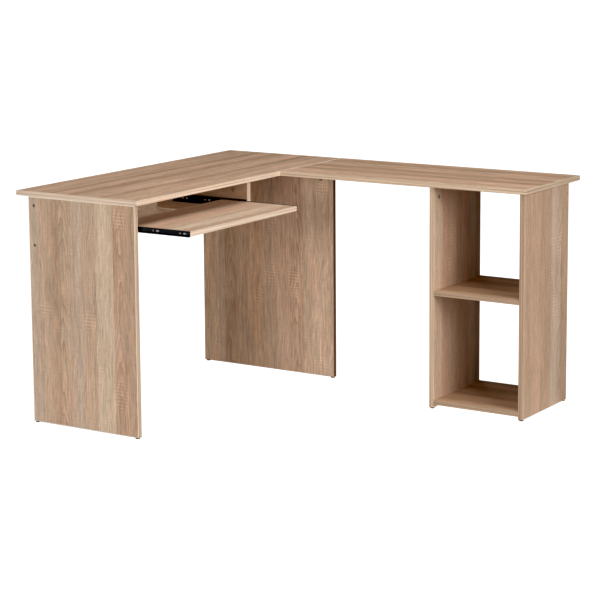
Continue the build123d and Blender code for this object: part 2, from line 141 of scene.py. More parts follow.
STRAY_MARKS = 0.45  # strength of the saw marks outside the given patches
BAND_LINES = 4.4  # mm between the band's printed lines, twice as coarse as real, so that they show
BAND_RUN = 600.0  # mm that such a line runs
# The pale line round each face is partly the band's paler top edge and partly a painted highlight.
BAND_CORNER = 3.0  # mm, half as thick again as a real band, so that the seam shows from across a room
MELAMINE_IOR = 1.5
MELAMINE_SPECULAR = 0.25  # the pressed pores scatter half of its gloss
PRESS_DEPTH = 0.00015  # m from the face to the bottom of a pore
FACE_FLATNESS = 0.95  # a surface turned further than this from its board's face is edge


def oak_paper(board, grain, across, staves, band, marks=(), contrast=1.0):
    """Give a board its sawn oak print.

    grain and across are its axes. staves are in order across it, each with its width in mm, its tone, and
    how far the heart of its tree is from its low side, if it shows flames.
    band has the tones of the edge band, of the lines printed on it, and of a pale line round the face:
    the band's paler top edge, partly a painted highlight on its rounded corner.
    marks are the middles and half sizes of patches of saw marks, as (across, along, half width, half length).
    contrast is how strongly the fibres show.
    """
    # Melamine-faced oak print gives a warm, even, matt face whose grain catches only a little light.
    material, tree, shader = finish_for(board + "_oak_melamine")
    where = add(tree, "TexCoord")
    axes = add(tree, "SeparateXYZ", [where.outputs["Object"]])
    facing = add(tree, "SeparateXYZ", [where.outputs["Normal"]])
    through = ({"X", "Y", "Z"} - {grain, across}).pop()
    turned = add(tree, "CombineXYZ", [axes.outputs[across], axes.outputs[grain], axes.outputs[through]])
    low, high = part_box(board)
    order = ["XYZ".index(axis) for axis in (across, grain, through)]
    corner = [-MM * low[i] for i in order]
    wide, long = (MM * (high[i] - low[i]) for i in order[:2])
    place = add(tree, "VectorMath:MULTIPLY_ADD", [turned, (MM, MM, MM), corner])
    parts = add(tree, "SeparateXYZ", [place])
    side, along, deep = parts.outputs

    # The ramp's colour is each stave's tone. Its alpha is the place of the stave's heart, over four board
    # widths with the board's low side at a half, because an alpha lies between 0 and 1.
    total = sum(stave[0] for stave in staves)
    fibres = add(tree, "VectorMath:MULTIPLY", [place, (1 / RAG_WIDTH, 1 / RAG_LENGTH, 0)])
    ragged = add(tree, "TexNoise", {"Vector": fibres, "Scale": 1.0, "Detail": 2.0})
    border = add(tree, "Math:MULTIPLY_ADD", [ragged, GLUE_LINE_RAG, side])
    ramp = add(tree, "ValToRGB", [add(tree, "Math:DIVIDE", [border, total + GLUE_LINE_RAG])])
    ramp.color_ramp.interpolation = "CONSTANT"
    edge = 0.0
    for i, (width, tone, *heart) in enumerate(staves):
        elements = ramp.color_ramp.elements
        stop = elements[i] if i < 2 else elements.new(edge / total)
        stop.position = edge / total
        pith = edge + (heart[0] if heart else FAR_HEART * (1 if i % 2 else -1))
        stop.color = (*linear(STAVE_TONES[tone])[:3], 0.5 + pith / total / 4)
        edge += width
    heart_at = add(tree, "Math:MULTIPLY_ADD", [ramp.outputs["Alpha"], 4 * total, -2 * total])
    own_plane = add(tree, "CombineXYZ", {"Z": heart_at})
    sway_at = add(tree, "VectorMath:MULTIPLY", [place, (1 / SWAY_WIDTH, 1 / SWAY_LENGTH, 0)])
    sway = add(tree, "TexNoise", {"Vector": sway_at, "Scale": 1.0, "Detail": 1.0})
    swayed = add(tree, "VectorMath:MULTIPLY_ADD", [sway, (SWAY, 0, 0), place])
    spread = add(tree, "VectorMath:MULTIPLY_ADD", [swayed, (1, 1, 0), own_plane])
    noise = {}
    for layer, (width, length, detail) in LAYERS.items():
        scaled = add(tree, "VectorMath:MULTIPLY", [spread, (1 / width, 1 / length, 1.0)])
        noise[layer] = add(tree, "TexNoise", {"Vector": scaled, "Scale": 1.0, "Detail": detail}).outputs[0]

    # Growth rings bend round the heart and drift along the stave.
    from_heart = add(tree, "Math:SUBTRACT", [side, heart_at])
    squared = add(tree, "Math:MULTIPLY_ADD", [from_heart, from_heart, HEART_WIDTH ** 2])
    climb = add(tree, "Math:MULTIPLY_ADD", [along, FLAME_SLOPE, add(tree, "Math:SQRT", [squared])])
    bent = add(tree, "Math:MULTIPLY_ADD", [noise["drift"], RING_DRIFT, climb])
    ring = add(tree, "Math:FRACT", [add(tree, "Math:DIVIDE", [bent, RING])])
    late = add(tree, "Math:POWER", [ring, LATE_SHARPNESS])
    near_heart = add(tree, "MapRange", {
        "Value": add(tree, "Math:ABSOLUTE", [from_heart]),
        "From Min": FLAME_FAR, "From Max": FLAME_NEAR, "To Min": FLAME_LEFT})
    flame = add(tree, "Math:MULTIPLY", [late, near_heart])
    pore = add(tree, "MapRange", {"Value": noise["pore"], **PORE_RANGE})

    # Saw marks are light rungs straight across a stave, in the patches given and in a few stray ones.
    rung_at = add(tree, "Math:MULTIPLY_ADD", [along, 1 / SAW_PITCH, noise["drift"]])
    rung = add(tree, "Math:SINE", [add(tree, "Math:MULTIPLY", [rung_at, 2 * math.pi])])
    bar = add(tree, "MapRange", {"Value": rung, "From Min": 0.2, "From Max": 0.9})
    sawn = add(tree, "MapRange", {
        "Value": noise["mill"], "From Min": 0.60, "From Max": 0.70, "To Max": STRAY_MARKS})
    for mark_side, mark_along, half_width, half_length in marks:
        middle = (-mark_side / half_width, -mark_along / half_length, 0)
        reach = add(tree, "VectorMath:MULTIPLY_ADD", [place, (1 / half_width, 1 / half_length, 0), middle])
        distance = add(tree, "VectorMath:LENGTH", [reach]).outputs["Value"]
        patch = add(tree, "MapRange", {"Value": distance, "From Min": 1.1, "From Max": 0.6})
        sawn = add(tree, "Math:MAXIMUM", [sawn, patch])
    mark = add(tree, "Math:MULTIPLY", [bar, sawn])

    # The fibres set the brightness. Late wood and pores are darker, and saw marks are lighter.
    tone = PRINT_LEVEL - contrast * sum(swing for layer, swing in SWINGS) / 2
    for layer, swing in SWINGS:
        tone = add(tree, "Math:MULTIPLY_ADD", [noise[layer], contrast * swing, tone])
    tone = add(tree, "Math:MULTIPLY_ADD", [mark, SAW_SHINE, tone])
    cast = add(tree, "MapRange", {"Value": noise["cast"], **CAST_RANGE})
    tint = add(tree, "Mix", {"Factor": cast, "A": GREY_CAST, "B": PINK_CAST}, data_type="RGBA")
    tinted = add(tree, "VectorMath:MULTIPLY", [ramp.outputs["Color"], tint])
    printed = add(tree, "VectorMath:SCALE", {0: tinted, "Scale": tone})
    pitted = add(tree, "Math:MULTIPLY", [pore, PORE_DEPTH])
    dark = add(tree, "Math:MULTIPLY_ADD", [flame, LATE_DEPTH, pitted])
    face = add(tree, "Mix", {"Factor": dark, "A": printed, "B": linear(LATE_WOOD)}, data_type="RGBA")

    # The band's lines run along the edge. A pale line round the face is the band's paler top edge,
    # partly a painted highlight on its rounded corner.
    round_board = add(tree, "Math:ADD", [along, side])
    on_band = add(tree, "CombineXYZ", [
        add(tree, "Math:DIVIDE", [deep, BAND_LINES]), add(tree, "Math:DIVIDE", [round_board, BAND_RUN])])
    lines = add(tree, "TexNoise", {"Vector": on_band, "Scale": 1.0, "Detail": 2.0})
    lined = add(tree, "MapRange", {"Value": lines, "From Min": 0.42, "From Max": 0.62, "To Max": 0.9})
    strip, line, pale_rim_and_highlight = (linear(code) for code in band)
    edging = add(tree, "Mix", {"Factor": lined, "A": strip, "B": line}, data_type="RGBA")
    flatness = add(tree, "Math:ABSOLUTE", [facing.outputs[through]])
    on_edge = add(tree, "Math:LESS_THAN", [flatness, FACE_FLATNESS])
    surface = face
    for spot, size in ((side, wide), (along, long)):
        from_middle = add(tree, "Math:ABSOLUTE", [add(tree, "Math:SUBTRACT", [spot, size / 2])])
        corner_line = add(tree, "Math:GREATER_THAN", [from_middle, size / 2 - BAND_CORNER])
        surface = add(tree, "Mix", {
            "Factor": corner_line, "A": surface.outputs[2], "B": pale_rim_and_highlight}, data_type="RGBA")
    colour = add(tree, "Mix", {
        "Factor": on_edge, "A": surface.outputs[2], "B": edging}, data_type="RGBA")
    tree.links.new(colour.outputs[2], shader.inputs["Base Color"])

    sunk = add(tree, "Math:MULTIPLY_ADD", [pore, -1.0, noise["hair"]])
    relief = add(tree, "Math:MULTIPLY_ADD", [mark, SAW_RELIEF, sunk])
    bump = add(tree, "Bump", {"Strength": 0.4, "Distance": PRESS_DEPTH, "Height": relief})
    tree.links.new(bump.outputs[0], shader.inputs["Normal"])
    rough = add(tree, "MapRange", {"Value": noise["fibre"], "To Min": 0.52, "To Max": 0.70})
    tree.links.new(rough.outputs[0], shader.inputs["Roughness"])
    shader.inputs["IOR"].default_value = MELAMINE_IOR
    shader.inputs["Specular IOR Level"].default_value = MELAMINE_SPECULAR
    coat(material, board)


# A pale band: partly the band's own light colour, partly a painted highlight for the light on the edges of
# the main top, the tray and the divider that face the right-hand lamps.
PALE_HIGHLIGHT_BAND = ("#ebd7c4", "#c8ad93", "#f6e8d8")
oak_paper("main_top", "Y", "X", (
    (52, "tan"), (30, "rose"), (44, "tan"), (26, "brown"), (48, "rose"), (40, "brown"),
    (34, "tan"), (50, "rose"), (28, "brown"), (42, "tan"), (36, "rose"), (50, "tan")),
    band=PALE_HIGHLIGHT_BAND, marks=((70, 60, 30, 60), (300, 420, 24, 60)), contrast=1.25)

# ---- Return top ----
# The shorter top is cut from the same board and butts against the front edge of the main top.
# Its staves run along its own length, so the two prints meet square at the seam.
MID_BAND = ("#d5bfa9", "#ae947b", "#f6e8d8")
oak_paper("return_top", "X", "Y", (
    (30, "rose"), (34, "tan"), (46, "rose"), (42, "brown"), (30, "tan"), (48, "brown"),
    (38, "rose"), (44, "tan"), (42, "brown"), (46, "tan")),
    band=MID_BAND, marks=((60, 300, 22, 50), (120, 640, 20, 60)), contrast=1.6)

# ---- Upright panels ----
# Two gables stand under the tops on plastic glides, with their staves upright.
# A long modesty panel ties them at the back, and a short divider carries the right-hand slide.
# A brown band, painted shade: it stands for the shadow the pedestal and the return top cast on the middle
# panel's right-hand edge, and is used on all that panel's edges.
BROWN_SHADE_BAND = ("#93745c", "#6e523f", "#c8aa94")
TAN_BAND = ("#cfb9a2", "#a98f76", "#ead9c7")
oak_paper("left_end_panel", "Z", "X", (
    (43, "grey"), (50, "sand"), (29, "tan"), (60, "sand", 8), (26, "grey"), (53, "sand"),
    (66, "pale", -40), (59, "rose", 32), (34, "tan")),
    band=MID_BAND,
    marks=((236, 352, 32, 38), (361, 682, 30, 42), (356, 129, 32, 60), (59, 373, 26, 26)),
    contrast=1.2)
oak_paper("middle_panel", "Z", "X", (
    (72, "straw", 100), (24, "sand"), (77, "honey", 20), (21, "tan"), (60, "honey"), (57, "tan", -30),
    (54, "rose"), (54, "rose", 34), (65, "sand"), (66, "sand", 90)),
    band=BROWN_SHADE_BAND,
    marks=((240, 260, 30, 34), (292, 346, 32, 46), (389, 331, 30, 76), (502, 664, 24, 46),
           (505, 42, 22, 30), (290, 527, 24, 28)),
    contrast=1.45)
oak_paper("modesty_panel", "Y", "Z", (
    (34, "pale"), (44, "sand"), (30, "pale"), (48, "sand"), (34, "pale")), band=TAN_BAND)
# The divider's staves are all brown: painted shade, for the shade it stands in under the main top. Its pale
# band is partly a painted highlight on the end edge that faces the right-hand lamps.
oak_paper("slide_divider", "X", "Z", (
    (30, "brown"), (42, "brown"), (48, "brown")), band=PALE_HIGHLIGHT_BAND)

# ---- Pedestal ----
# Two sides and two shelves make an open pedestal under the free end of the return.
# The sides' staves are upright, and the shelves' run from side to side.
# A darker band. On the shelves its darkness is painted shade, for the shade inside the pedestal.
SHELF_BAND = ("#b89f88", "#97806b", "#d8c5b0")
oak_paper("pedestal_left_side", "Z", "Y", (
    (38, "sand"), (26, "grey"), (42, "rose"), (52, "sand"), (34, "tan"), (46, "rose"),
    (50, "grey"), (40, "tan")),
    band=TAN_BAND, marks=((130, 560, 18, 60), (110, 470, 16, 40)))
oak_paper("pedestal_right_side", "Z", "Y", (
    (24, "rose"), (30, "tan"), (74, "rose"), (26, "tan"), (48, "tan"), (66, "grey"), (60, "tan")),
    band=SHELF_BAND, marks=((258, 540, 24, 60), (230, 330, 18, 90), (200, 440, 14, 40)))
# The shelves' honey and brown staves are darker than the other boards': painted shade, for the shade inside
# the pedestal.
for shelf in ("pedestal_middle_shelf", "pedestal_bottom_shelf"):
    oak_paper(shelf, "X", "Y", (
        (40, "honey"), (34, "brown"), (46, "honey"), (28, "brown"), (44, "honey"), (50, "brown"),
        (40, "honey"), (46, "brown")), band=SHELF_BAND)

# ---- Keyboard tray ----
# The tray is the same board again, hung between the two slides, with its staves along its width.
oak_paper("keyboard_tray", "Y", "X", (
    (46, "sand"), (38, "rose"), (30, "pale"), (52, "rose"), (44, "sand"), (48, "pale"), (42, "rose")),
    band=PALE_HIGHLIGHT_BAND)

# ---- Slide members ----
# Each slide is two rolled steel channels, coated black and baked.
# The coat is thin and satin, with the faint orange peel of paint on rolled strip.
PEEL_SIZE = 1 / 900  # m across one dimple of the peel
ROLLED = (6.0, 700.0, 700.0)  # rolling lines in a metre: few along the strip, many across it


def black_coat():
    """A satin black with soft highlights, drawn out along the strip as it was rolled."""
    material, tree, shader = finish_for("black_baked_coating")
    where = add(tree, "TexCoord")
    peel = add(tree, "TexNoise", {
        "Vector": where.outputs["Object"], "Scale": 1 / PEEL_SIZE, "Detail": 1.0})
    rolled = add(tree, "Mapping", {"Vector": where.outputs["Object"], "Scale": ROLLED})
    drawn = add(tree, "TexNoise", {"Vector": rolled, "Scale": 1.0, "Detail": 3.0})
    tone = add(tree, "Mix", {"Factor": drawn, "A": linear("#1b1c1f"), "B": linear("#393a3e")},
               data_type="RGBA")
    tree.links.new(tone.outputs[2], shader.inputs["Base Color"])
    rough = add(tree, "MapRange", {"Value": drawn, "To Min": 0.28, "To Max": 0.46})
    tree.links.new(rough.outputs[0], shader.inputs["Roughness"])
    bump = add(tree, "Bump", {"Strength": 0.25, "Distance": 0.0001, "Height": peel})
    tree.links.new(bump.outputs[0], shader.inputs["Normal"])
    return material


slide_black = black_coat()
for hand in ("left", "right"):
    coat(slide_black, "slide_outer_member_" + hand, "slide_inner_member_" + hand)

# ---- Ball cages and balls ----
# A strip of zinc-plated steel holds two rows of hardened balls between the channels.
# The balls are ground chrome steel, held in round holes in the strip, and roll as the tray moves.


def bright_metal(name, colour, stain, grain_mm, rough, metallic=1.0):
    """A bare or plated metal: a fine mottle in its colour, gloss and surface, grain_mm across."""
    material, tree, shader = finish_for(name)
    where = add(tree, "TexCoord")
    mottle = add(tree, "TexNoise", {
        "Vector": where.outputs["Object"], "Scale": 1000.0 / grain_mm, "Detail": 3.0})
    tone = add(tree, "Mix", {"Factor": mottle, "A": linear(colour), "B": linear(stain)}, data_type="RGBA")
    tree.links.new(tone.outputs[2], shader.inputs["Base Color"])
    gloss = add(tree, "MapRange", {"Value": mottle, "To Min": rough * 0.8, "To Max": rough * 1.2})
    tree.links.new(gloss.outputs[0], shader.inputs["Roughness"])
    bump = add(tree, "Bump", {"Strength": 0.2, "Distance": 0.00005, "Height": mottle})
    tree.links.new(bump.outputs[0], shader.inputs["Normal"])
    shader.inputs["Metallic"].default_value = metallic
    return material


# Zinc plate on stamped strip gives a cool, dull silver with a fine mottle.
zinc_strip = bright_metal("zinc_plated_strip", "#c4c8cb", "#9da2a6", 1.5, 0.32)
coat(zinc_strip, "ball_cage_left", "ball_cage_right")


def solids_in(node):
    """The solids of a CAD node: the middle of each one's wide end, and the way to its other end."""
    merged = bmesh.new()
    merged.from_mesh(nodes[node].data)
    bmesh.ops.remove_doubles(merged, verts=merged.verts, dist=1e-6)
    merged.verts.index_update()
    seen = set()
    found = []
    for first in merged.verts:
        if first.index in seen:
            continue
        seen.add(first.index)
        queue = [first]
        points = []
        while queue:
            vert = queue.pop()
            points.append(vert.co.copy())
            for edge in vert.link_edges:
                other = edge.other_vert(vert)
                if other.index not in seen:
                    seen.add(other.index)
                    queue.append(other)
        low = Vector([min(p[i] for p in points) for i in range(3)])
        high = Vector([max(p[i] for p in points) for i in range(3)])
        middle = (low + high) / 2
        axis = max(range(3), key=lambda i: (high - low)[i])
        ends = []
        for end in (low[axis], high[axis]):
            centre = middle.copy()
            centre[axis] = end
            rim = [(p - centre).length for p in points if abs(p[axis] - end) < 1e-5]
            ends.append((max(rim, default=0), centre))
        wide, narrow = sorted(ends, key=lambda e: -e[0])
        found.append((wide[1], narrow[1] - wide[1], middle))
    merged.free()
    return sorted(found, key=lambda solid: tuple(round(v, 5) for v in solid[2]))


def new_tree(name, sizes):
    """A Geometry Nodes tree with a named input for each size, its input node and its output node."""
    tree = bpy.data.node_groups.new(name, "GeometryNodeTree")
    tree.interface.new_socket("Geometry", in_out="INPUT", socket_type="NodeSocketGeometry")
    tree.interface.new_socket("Geometry", in_out="OUTPUT", socket_type="NodeSocketGeometry")
    for size in sizes:
        tree.interface.new_socket(size, in_out="INPUT", socket_type="NodeSocketFloat")
    return tree, add(tree, "NodeGroupInput"), add(tree, "NodeGroupOutput")


SOFT_EDGE = math.radians(35)  # an edge that turns less than this is shaded smooth


def stand_at_seats(tree, entry, out, shape, material):
    """End a tree: its shape stands at each seat, pointed along the seat's axis."""
    axis = add(tree, "GeometryNodeInputNamedAttribute", {"Name": "axis"}, data_type="FLOAT_VECTOR")
    turn = add(tree, "FunctionNodeAlignRotationToVector", {"Vector": axis}, axis="Z")
    stood = add(tree, "GeometryNodeInstanceOnPoints", {
        "Points": entry.outputs["Geometry"], "Instance": shape, "Rotation": turn})
    smooth = add(tree, "GeometryNodeSetShadeSmooth", {"Geometry": add(
        tree, "GeometryNodeRealizeInstances", {"Geometry": stood})})
    angle = add(tree, "GeometryNodeInputMeshEdgeAngle")
    soft_edge = add(tree, "Math:LESS_THAN", [angle.outputs["Unsigned Angle"], SOFT_EDGE])
    eased = add(tree, "GeometryNodeSetShadeSmooth", {
        "Geometry": smooth, "Shade Smooth": soft_edge}, domain="EDGE")
    painted = add(tree, "GeometryNodeSetMaterial", {"Geometry": eased, "Material": material})
    tree.links.new(painted.outputs[0], out.inputs["Geometry"])


def set_out(name, node, body, tree, sizes, at_middle=False):
    """Make a tree's pieces where a CAD node's solids are, as one plain mesh that rides on a body."""
    solids = solids_in(node)
    mesh = bpy.data.meshes.new(name)
    mesh.from_pydata([middle if at_middle else seat for seat, axis, middle in solids], [], [])
    axes = mesh.attributes.new("axis", "FLOAT_VECTOR", "POINT")
    axes.data.foreach_set("vector", [part for seat, axis, middle in solids for part in axis.normalized()])
    piece = bpy.data.objects.new(name, mesh)
    bpy.context.scene.collection.objects.link(piece)
    modifier = piece.modifiers.new(name, "NODES")
    modifier.node_group = tree
    for item in tree.interface.items_tree:
        if item.name in sizes:
            modifier[item.identifier] = sizes[item.name]
    bpy.context.view_layer.update()
    made = bpy.data.meshes.new_from_object(piece.evaluated_get(bpy.context.evaluated_depsgraph_get()))
    piece.modifiers.clear()
    piece.data = made
    made.name = name
    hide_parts(node)
    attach(piece, body)


ball_tree, ball_in, ball_out = new_tree("ball", ["Radius"])
ball = add(ball_tree, "GeometryNodeMeshUVSphere", {
    "Segments": 16, "Rings": 8, "Radius": ball_in.outputs["Radius"]})
# Ground chrome steel gives small, sharp highlights.
ball_steel = bright_metal("chrome_steel_ball", "#dfe2e4", "#c9cdd0", 0.8, 0.1)
stand_at_seats(ball_tree, ball_in, ball_out, ball, ball_steel)
for hand in ("left", "right"):
    set_out("balls_" + hand, "slide_balls_" + hand, "cage_" + hand, ball_tree,
            {"Radius": 0.0016}, at_middle=True)

# ---- Slide and plate screws ----
# Zinc-plated chipboard screws with a low domed head and a crossed recess.
# They hold the channels to the boards through round holes, and the plates under the seam.
HEAD_SIDES = 24
SHANK_SIDES = 20
DOME = 0.20  # how much narrower the head's face is than its foot
HEAD_OVERLAP = 0.9  # the shoulder starts inside the head, this far down it
TURN_STEPS = 14  # steps in one turn of the thread


def screw_tree(name, material, hexagon):
    """A screw from the middle of its head's face, along Z: head, shoulder, core and thread."""
    tree, entry, out = new_tree(name, [
        "Head radius", "Head height", "Shoulder radius", "Shoulder end", "Core radius", "Length",
        "Thread pitch", "Thread size", "Drive length", "Drive width", "Drive depth"])
    size = entry.outputs
    half_head = add(tree, "Math:MULTIPLY", [size["Head height"], 0.5])
    head = add(tree, "GeometryNodeMeshCylinder", {
        "Vertices": HEAD_SIDES, "Side Segments": 4,
        "Radius": size["Head radius"], "Depth": size["Head height"]})
    place = add(tree, "SeparateXYZ", [add(tree, "GeometryNodeInputPosition")])
    lifted = add(tree, "Math:ADD", [place.outputs["Z"], half_head])
    height = add(tree, "Math:DIVIDE", [lifted, size["Head height"]])
    below = add(tree, "Math:SUBTRACT", [1.0, height])
    squared = add(tree, "Math:MULTIPLY", [below, below])
    narrowed = add(tree, "Math:MULTIPLY_ADD", [squared, -DOME, 1.0])
    domed = add(tree, "CombineXYZ", [
        add(tree, "Math:MULTIPLY", [place.outputs["X"], narrowed]),
        add(tree, "Math:MULTIPLY", [place.outputs["Y"], narrowed]), lifted])
    crown = add(tree, "GeometryNodeSetPosition", {"Geometry": head.outputs["Mesh"], "Position": domed})

    depth = add(tree, "Math:MULTIPLY", [size["Drive depth"], 2.0])
    if hexagon:
        cutters = [add(tree, "GeometryNodeMeshCylinder", {
            "Vertices": 6, "Radius": size["Drive length"], "Depth": depth})]
    else:
        cutters = [
            add(tree, "GeometryNodeMeshCube", {"Size": add(tree, "CombineXYZ", [one, two, depth])})
            for one, two in ((size["Drive length"], size["Drive width"]),
                             (size["Drive width"], size["Drive length"]))]
    for cutter in cutters:
        crown = add(tree, "GeometryNodeMeshBoolean", {"Mesh 1": crown, "Mesh 2": cutter})

    pieces = [crown]
    from_head = add(tree, "Math:MULTIPLY", [size["Head height"], HEAD_OVERLAP])
    for radius, begin, end in (
        (size["Shoulder radius"], from_head, size["Shoulder end"]),
        (size["Core radius"], size["Shoulder end"], size["Length"]),
    ):
        long = add(tree, "Math:SUBTRACT", [end, begin])
        bar = add(tree, "GeometryNodeMeshCylinder", {
            "Vertices": SHANK_SIDES, "Radius": radius, "Depth": long})
        middle = add(tree, "Math:MULTIPLY_ADD", [long, 0.5, begin])
        pieces.append(add(tree, "GeometryNodeTransform", {
            "Geometry": bar.outputs["Mesh"], "Translation": add(tree, "CombineXYZ", {"Z": middle})}))
    threaded = add(tree, "Math:SUBTRACT", [size["Length"], size["Shoulder end"]])
    turns = add(tree, "Math:DIVIDE", [threaded, size["Thread pitch"]])
    helix = add(tree, "GeometryNodeCurveSpiral", {
        "Resolution": TURN_STEPS, "Rotations": turns, "Start Radius": size["Core radius"],
        "End Radius": size["Core radius"], "Height": threaded})
    crest = add(tree, "GeometryNodeCurvePrimitiveCircle", {"Resolution": 4, "Radius": size["Thread size"]})
    thread = add(tree, "GeometryNodeCurveToMesh", {
        "Curve": helix, "Profile Curve": crest.outputs["Curve"], "Fill Caps": True})
    pieces.append(add(tree, "GeometryNodeTransform", {
        "Geometry": thread, "Translation": add(tree, "CombineXYZ", {"Z": size["Shoulder end"]})}))
    whole = add(tree, "GeometryNodeJoinGeometry")
    for part in reversed(pieces):
        tree.links.new(part.outputs[0], whole.inputs[0])
    stand_at_seats(tree, entry, out, whole, material)
    return tree


# Fresh zinc plate on a small head gives a pale silver that stands out on the black channel.
pale_zinc = bright_metal("zinc_plated_screw", "#e4e6e8", "#c3c7ca", 0.6, 0.45)
crossed_screw = screw_tree("crossed_screw", pale_zinc, hexagon=False)
small_screw = {
    "Head radius": 0.0034, "Head height": 0.0013, "Shoulder radius": 0.00165, "Shoulder end": 0.003,
    "Core radius": 0.0012, "Length": 0.0140, "Thread pitch": 0.0014, "Thread size": 0.0005,
    "Drive length": 0.0036, "Drive width": 0.0008, "Drive depth": 0.0009}
for node, body in (
    ("slide_wall_screws", "desk"),
    ("slide_tray_screws", "tray"),
    ("seam_plate_screws", "desk"),
):
    set_out(node + "_crossed", node, body, crossed_screw, small_screw)

# ---- Long connecting screws ----
# Steel screws of 7 mm with a flat head and a hexagon socket hold the modesty panel and the divider.
# They are driven from outside and left showing, and their heads are lacquered grey.
# The lacquer is dull and hides the metal's shine, so a head is a small dark dot on the board.
grey_lacquer = bright_metal("grey_lacquered_steel", "#8a817a", "#625b55", 0.8, 0.5, 0.0)
socket_screw = screw_tree("socket_screw", grey_lacquer, hexagon=True)
set_out("long_socket_screws", "long_screws", "desk", socket_screw, {
    "Head radius": 0.0050, "Head height": 0.0020, "Shoulder radius": 0.0034, "Shoulder end": 0.0140,
    "Core radius": 0.0019, "Length": 0.0500, "Thread pitch": 0.0030, "Thread size": 0.0006,
    "Drive length": 0.0023, "Drive depth": 0.0016})

# ---- Cam fittings ----
# Die-cast zinc cams turn in the boards' faces and pull zinc-plated bolts screwed into the next board.
# The cams are pressed into drilled seats, and the bolts' heads sit in slots in the cams.
# Brown lacquer on the cast face is dull and close to the board's colour, so a cam hardly shows.
coat(bright_metal("brown_lacquered_zinc", "#a58f7b", "#846f5f", 0.9, 0.6, 0.0), "cam_locks")
# Zinc plate on the turned bolts gives a clean silver.
coat(bright_metal("zinc_plated_bolt", "#cfd2d4", "#a9adb1", 0.8, 0.3), "cam_bolts")

# ---- Dowels ----
# Beech dowels are turned and pressed with flutes that let the glue out, and both ends are chamfered.
# Half of each dowel is glued into one board, and the other half into the next.
FLECK_SIZE = 1 / 1400  # m between flecks


def beech():
    """Bare turned beech: a pale, dry, pinkish tan with fine dark flecks."""
    material, tree, shader = finish_for("turned_beech")
    where = add(tree, "TexCoord")
    fleck = add(tree, "TexNoise", {
        "Vector": where.outputs["Object"], "Scale": 1 / FLECK_SIZE, "Detail": 2.0})
    tone = add(tree, "Mix", {"Factor": fleck, "A": linear("#d9b68c"), "B": linear("#b98d62")},
               data_type="RGBA")
    tree.links.new(tone.outputs[2], shader.inputs["Base Color"])
    bump = add(tree, "Bump", {"Strength": 0.3, "Distance": 0.0001, "Height": fleck})
    tree.links.new(bump.outputs[0], shader.inputs["Normal"])
    rough = add(tree, "MapRange", {"Value": fleck, "To Min": 0.55, "To Max": 0.75})
    tree.links.new(rough.outputs[0], shader.inputs["Roughness"])
    return material


FLUTES = 18
DOWEL_STEPS = 30
CHAMFER = 0.2  # of the radius, taken off at each end
PLAIN_HALF = 0.49  # of the length, from the middle to where the chamfer starts
dowel_tree, dowel_in, dowel_out = new_tree("fluted_dowel", ["Radius", "Flute depth", "Length"])
valley = add(dowel_tree, "Math:SUBTRACT", [dowel_in.outputs["Radius"], dowel_in.outputs["Flute depth"]])
section = add(dowel_tree, "GeometryNodeCurveStar", {
    "Points": FLUTES, "Inner Radius": valley, "Outer Radius": dowel_in.outputs["Radius"]})
core = add(dowel_tree, "GeometryNodeCurvePrimitiveLine", {
    "End": add(dowel_tree, "CombineXYZ", {"Z": dowel_in.outputs["Length"]})})
stepped = add(dowel_tree, "GeometryNodeResampleCurve", {"Curve": core, "Count": DOWEL_STEPS})
run = add(dowel_tree, "GeometryNodeSplineParameter").outputs["Factor"]
from_middle = add(dowel_tree, "Math:ABSOLUTE", [add(dowel_tree, "Math:SUBTRACT", [run, 0.5])])
at_end = add(dowel_tree, "Math:GREATER_THAN", [from_middle, PLAIN_HALF])
taper = add(dowel_tree, "Math:MULTIPLY_ADD", [at_end, -CHAMFER, 1.0])
tapered = add(dowel_tree, "GeometryNodeSetCurveRadius", {"Curve": stepped, "Radius": taper})
dowel = add(dowel_tree, "GeometryNodeCurveToMesh", {
    "Curve": tapered, "Profile Curve": section.outputs["Curve"], "Scale": taper, "Fill Caps": True})
stand_at_seats(dowel_tree, dowel_in, dowel_out, dowel, beech())
set_out("fluted_dowels", "wood_dowels", "desk", dowel_tree, {
    "Radius": 0.0040, "Flute depth": 0.0004, "Length": 0.0300})

# ---- Seam plates and glides ----
# Two flat steel plates, screwed on from below, tie the tops across their seam.
# Moulded plastic glides, nailed under the ends of each upright panel, keep it off the floor.
# Zinc plate on flat sheet gives a silver with a coarser mottle.
coat(bright_metal("zinc_plated_plate", "#c8ccce", "#a3a8ac", 2.0, 0.36), "seam_plates")
SCUFF_SIZE = 1 / 1100  # m across one scuff


def glide_plastic():
    """Moulded polyethylene: a dull, waxy brown with light scuffs."""
    material, tree, shader = finish_for("moulded_brown_polyethylene")
    where = add(tree, "TexCoord")
    scuff = add(tree, "TexNoise", {
        "Vector": where.outputs["Object"], "Scale": 1 / SCUFF_SIZE, "Detail": 3.0})
    tone = add(tree, "Mix", {"Factor": scuff, "A": linear("#54443a"), "B": linear("#6b574a")},
               data_type="RGBA")
    tree.links.new(tone.outputs[2], shader.inputs["Base Color"])
    rough = add(tree, "MapRange", {"Value": scuff, "To Min": 0.42, "To Max": 0.62})
    tree.links.new(rough.outputs[0], shader.inputs["Roughness"])
    bump = add(tree, "Bump", {"Strength": 0.2, "Distance": 0.0001, "Height": scuff})
    tree.links.new(bump.outputs[0], shader.inputs["Normal"])
    return material


coat(glide_plastic(), "glides_left_end_panel", "glides_middle_panel",
     "glides_pedestal_left_side", "glides_pedestal_right_side")

